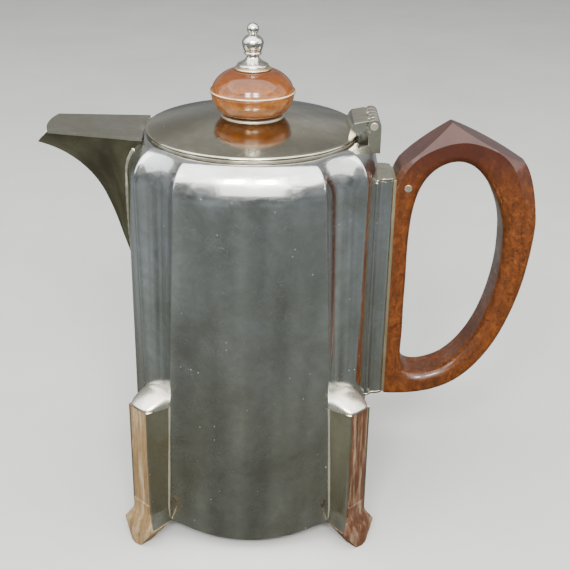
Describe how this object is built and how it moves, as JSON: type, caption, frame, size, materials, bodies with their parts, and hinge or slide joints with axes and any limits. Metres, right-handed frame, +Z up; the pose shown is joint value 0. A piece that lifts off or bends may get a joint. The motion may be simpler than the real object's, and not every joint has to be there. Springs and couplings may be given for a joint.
{
  "type": "coffee pot",
  "caption": "Art Deco silver-plated coffee pot with a hinged domed lid, a covered V spout, a wooden handle and knob, and wooden feet.",
  "frame": {"origin": "centre of the overall bounding box in plan, on the plane the four feet rest on", "axes": "+Z up through the knob, -X towards the spout, +X towards the handle, +Y across the pot to its back side"},
  "size_m": [0.1947, 0.1016, 0.202],
  "materials": {
    "silver_plate": "aged polished silver plate with fine scratches",
    "silver_bright": "brushed silver plate",
    "handle_wood": "polished orange-brown hardwood",
    "knob_wood": "glossy caramel hardwood",
    "dark_wood": "dark stained hardwood",
    "pale_brass": "dull pale brass",
    "nickel_pin": "dull nickel"
  },
  "bodies": {
    "pot": {"body_wall": "silver_plate", "base_plate": "silver_plate", "mouth_collar": "silver_plate", "spout_walls": "silver_plate", "spout_cover": "silver_plate", "leg_channel_front_left": "silver_plate", "leg_cap_front_left": "silver_bright", "foot_insert_front_left": "dark_wood", "leg_channel_front_right": "silver_plate", "leg_cap_front_right": "silver_bright", "foot_insert_front_right": "dark_wood", "leg_channel_back_right": "silver_plate", "leg_cap_back_right": "silver_bright", "foot_insert_back_right": "dark_wood", "leg_channel_back_left": "silver_plate", "leg_cap_back_left": "silver_bright", "foot_insert_back_left": "dark_wood", "handle_mount": "silver_plate", "mount_cap_top": "silver_plate", "mount_cap_bottom": "silver_plate", "handle_back_plate": "silver_plate", "handle_wood": "handle_wood", "handle_pin": "nickel_pin", "hinge_body_leaf": "silver_plate", "hinge_pin": "silver_plate"},
    "lid": {"lid_dome": "silver_plate", "lid_flange": "silver_plate", "hinge_lid_leaf": "silver_plate", "knob_seat_ring": "silver_plate", "knob_bulb": "knob_wood", "finial_washer": "pale_brass", "finial": "silver_plate", "knob_stud": "pale_brass", "knob_under_washer": "pale_brass", "knob_nut": "pale_brass"}
  },
  "joints": [
    {"name": "lid_hinge", "type": "hinge", "parent": "pot", "child": "lid", "pos_m": [0.03155, 0, 0.166], "axis": [0, 1, 0], "range_deg": [0, 105]}
  ]
}
